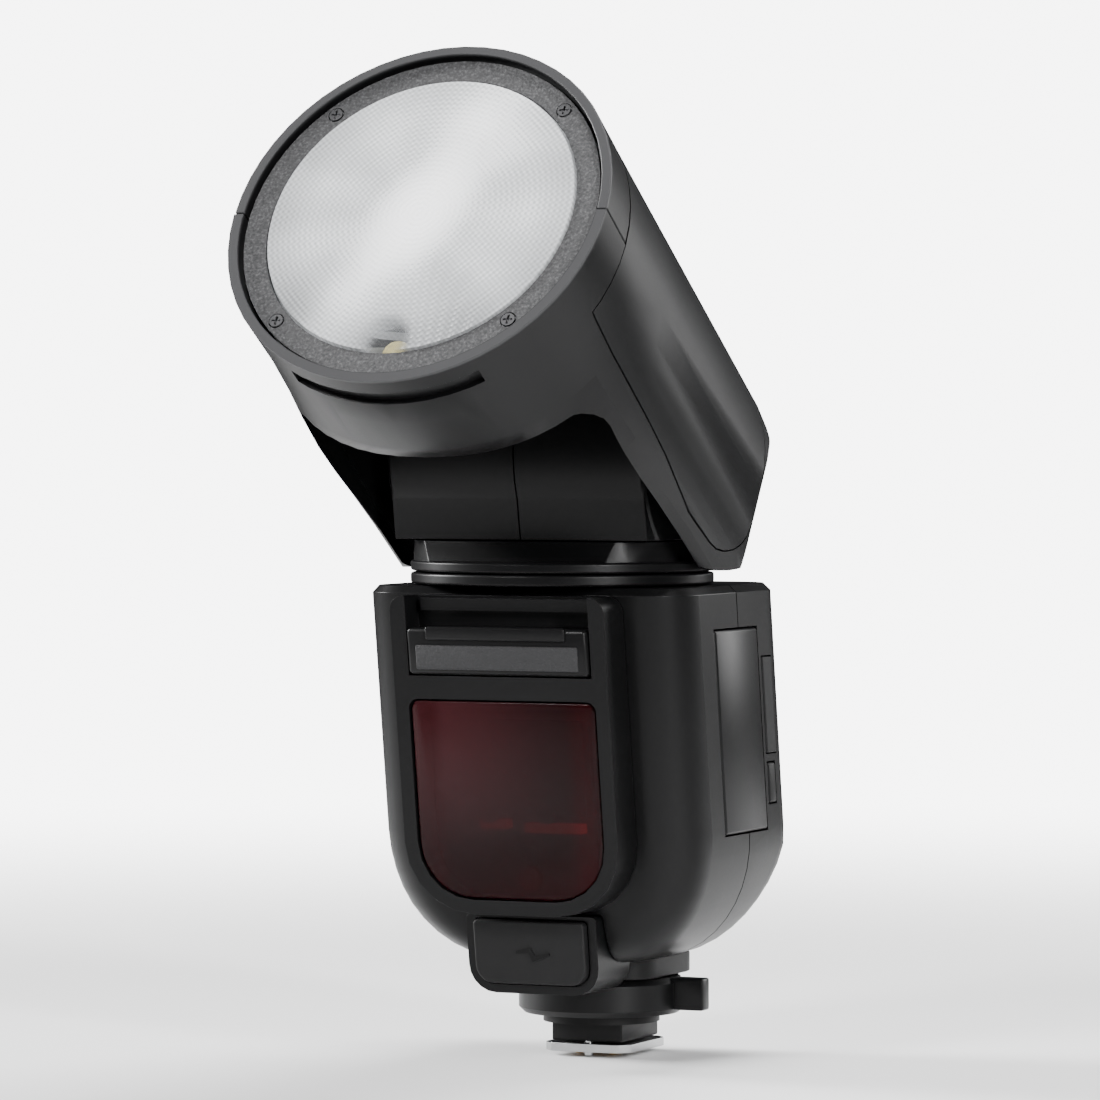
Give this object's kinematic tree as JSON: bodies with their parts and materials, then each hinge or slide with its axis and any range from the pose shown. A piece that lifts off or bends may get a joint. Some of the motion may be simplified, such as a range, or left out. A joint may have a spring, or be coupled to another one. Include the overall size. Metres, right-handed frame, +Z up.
{
  "type": "speedlight flash",
  "caption": "Shoe-mount flash with a round zooming head on a tilting, swivelling neck, slanted battery body, rear controls and a locking hot-shoe foot",
  "frame": {"origin": "centre of the metal foot plate's underside", "axes": "+Z up out of the camera shoe, -Y towards the front window, +X towards the battery door"},
  "size_m": [0.076, 0.1317, 0.1968],
  "materials": {
    "shell": "satin black moulding",
    "bezel": "matte black moulding",
    "rubber": "matte black rubber",
    "key": "dark grey key",
    "ring": "coarse speckled grey",
    "red": "polished dark red, translucent",
    "board": "circuit board",
    "glass": "clear",
    "screen": "grey liquid crystal panel",
    "lens": "frosted clear with prism pattern",
    "lamp": "yellow phosphor under clear resin",
    "mirror": "bright polished",
    "chrome": "bright plated",
    "steel": "zinc plated",
    "brass": "gold plated",
    "copper": "taped copper winding",
    "can": "sleeved can"
  },
  "bodies": {
    "body": {"front_shell": "shell", "rear_shell": "shell", "front_bezel": "bezel", "front_window": "red", "lamp_board": "board", "power_port_socket": "bezel", "side_port_socket": "bezel", "lcd_window": "glass", "lcd_panel": "screen", "key_board": "board", "main_board": "board", "transformer": "copper", "flash_capacitor": "can", "swivel_base": "bezel", "shoe_turret": "bezel", "foot_block": "bezel", "foot_plate": "chrome", "contact_pins": "brass"},
    "accessory_cover": {"accessory_port_cover": "shell"},
    "power_flap": {"power_port_cover": "rubber"},
    "side_flap": {"side_port_cover": "rubber"},
    "battery_pack": {"battery": "shell"},
    "battery_catch": {"battery_latch": "shell"},
    "function_key_1": {"function_button_1": "key"},
    "function_key_2": {"function_button_2": "key"},
    "function_key_3": {"function_button_3": "key"},
    "function_key_4": {"function_button_4": "key"},
    "mode_key": {"mode_button": "key"},
    "test_key": {"test_button": "key"},
    "set_key": {"set_button": "key"},
    "dial": {"control_dial": "key"},
    "switch": {"power_switch": "key"},
    "collar": {"lock_collar": "shell"},
    "foot_pin": {"lock_pin": "chrome"},
    "swivel": {"swivel_disc": "shell", "swivel_spindle": "steel", "neck_shell_left": "shell", "neck_shell_right": "shell", "trunnion_left": "steel", "trunnion_right": "steel"},
    "head": {"head_lower_shell": "shell", "head_upper_shell": "shell", "front_band": "shell", "front_ring": "ring", "ring_screw_1": "steel", "ring_screw_2": "steel", "ring_screw_3": "steel", "ring_screw_4": "steel", "front_lens": "lens", "modelling_lamp": "lamp", "led_board": "board", "head_chassis": "steel", "zoom_motor": "can", "tilt_hub_left": "steel", "tilt_hub_right": "steel"},
    "zoom": {"reflector": "mirror", "flash_tube": "glass", "zoom_carriage": "bezel"},
    "screw": {"zoom_screw": "steel"}
  },
  "joints": [
    {"name": "swivel_turn", "type": "hinge", "parent": "body", "child": "swivel", "pos_m": [0, -0.0215, 0.0955], "axis": [0, 0, 1], "range_deg": [-150, 180]},
    {"name": "head_tilt", "type": "hinge", "parent": "swivel", "child": "head", "pos_m": [0, -0.0215, 0.1195], "axis": [-1, 0, 0], "range_deg": [-40.4, 86.6]},
    {"name": "zoom_slide", "type": "slide", "parent": "head", "child": "zoom", "axis": [0, 0.8348, -0.5505], "range_m": [0, 0.01]},
    {"name": "zoom_screw_turn", "type": "hinge", "parent": "head", "child": "screw", "pos_m": [0.018, -0.04307, 0.16127], "axis": [0, 0.8348, -0.5505], "range_deg": [-1, 721]},
    {"name": "accessory_cover_slide", "type": "slide", "parent": "body", "child": "accessory_cover", "axis": [0, -1, 0], "range_m": [0, 0.006]},
    {"name": "power_flap_hinge", "type": "hinge", "parent": "body", "child": "power_flap", "pos_m": [0, -0.03682, 0.0157], "axis": [1, 0, 0], "range_deg": [0, 90]},
    {"name": "side_flap_hinge", "type": "hinge", "parent": "body", "child": "side_flap", "pos_m": [0.0342, 0.00472, 0.069], "axis": [0, -0.1532, 0.9882], "range_deg": [0, 100]},
    {"name": "battery_slide", "type": "slide", "parent": "body", "child": "battery_pack", "axis": [1, 0, 0], "range_m": [0, 0.06]},
    {"name": "battery_catch_press", "type": "slide", "parent": "body", "child": "battery_catch", "axis": [-1, 0, 0], "range_m": [0, 0.0015], "stiffness_N_per_m": 600},
    {"name": "function_key_1_press", "type": "slide", "parent": "body", "child": "function_key_1", "axis": [0, -0.9882, -0.1532], "range_m": [0, 0.0007], "stiffness_N_per_m": 600},
    {"name": "function_key_2_press", "type": "slide", "parent": "body", "child": "function_key_2", "axis": [0, -0.9882, -0.1532], "range_m": [0, 0.0007], "stiffness_N_per_m": 600},
    {"name": "function_key_3_press", "type": "slide", "parent": "body", "child": "function_key_3", "axis": [0, -0.9882, -0.1532], "range_m": [0, 0.0007], "stiffness_N_per_m": 600},
    {"name": "function_key_4_press", "type": "slide", "parent": "body", "child": "function_key_4", "axis": [0, -0.9882, -0.1532], "range_m": [0, 0.0007], "stiffness_N_per_m": 600},
    {"name": "mode_key_press", "type": "slide", "parent": "body", "child": "mode_key", "axis": [0, -0.9882, -0.1532], "range_m": [0, 0.0007], "stiffness_N_per_m": 600},
    {"name": "test_key_press", "type": "slide", "parent": "body", "child": "test_key", "axis": [0, -0.9882, -0.1532], "range_m": [0, 0.0007], "stiffness_N_per_m": 600},
    {"name": "set_key_press", "type": "slide", "parent": "body", "child": "set_key", "axis": [0, -0.9882, -0.1532], "range_m": [0, 0.0007], "stiffness_N_per_m": 600},
    {"name": "dial_turn", "type": "hinge", "parent": "body", "child": "dial", "pos_m": [0, 0.01812, 0.04962], "axis": [0, 0.9882, 0.1532], "continuous": true},
    {"name": "switch_slide", "type": "slide", "parent": "body", "child": "switch", "axis": [-1, 0, 0], "range_m": [0, 0.003]},
    {"name": "collar_turn", "type": "hinge", "parent": "body", "child": "collar", "pos_m": [0, -0.0019, 0.0148], "axis": [0, 0, 1], "range_deg": [0, 60]},
    {"name": "foot_pin_slide", "type": "slide", "parent": "body", "child": "foot_pin", "axis": [0, 0, 1], "range_m": [0, 0.0018]}
  ],
  "couplings": [
    {"joint": "zoom_screw_turn", "follows": "zoom_slide", "rad_per_m": 1256.6},
    {"joint": "foot_pin_slide", "follows": "collar_turn", "m_per_rad": 0.0017187}
  ]
}
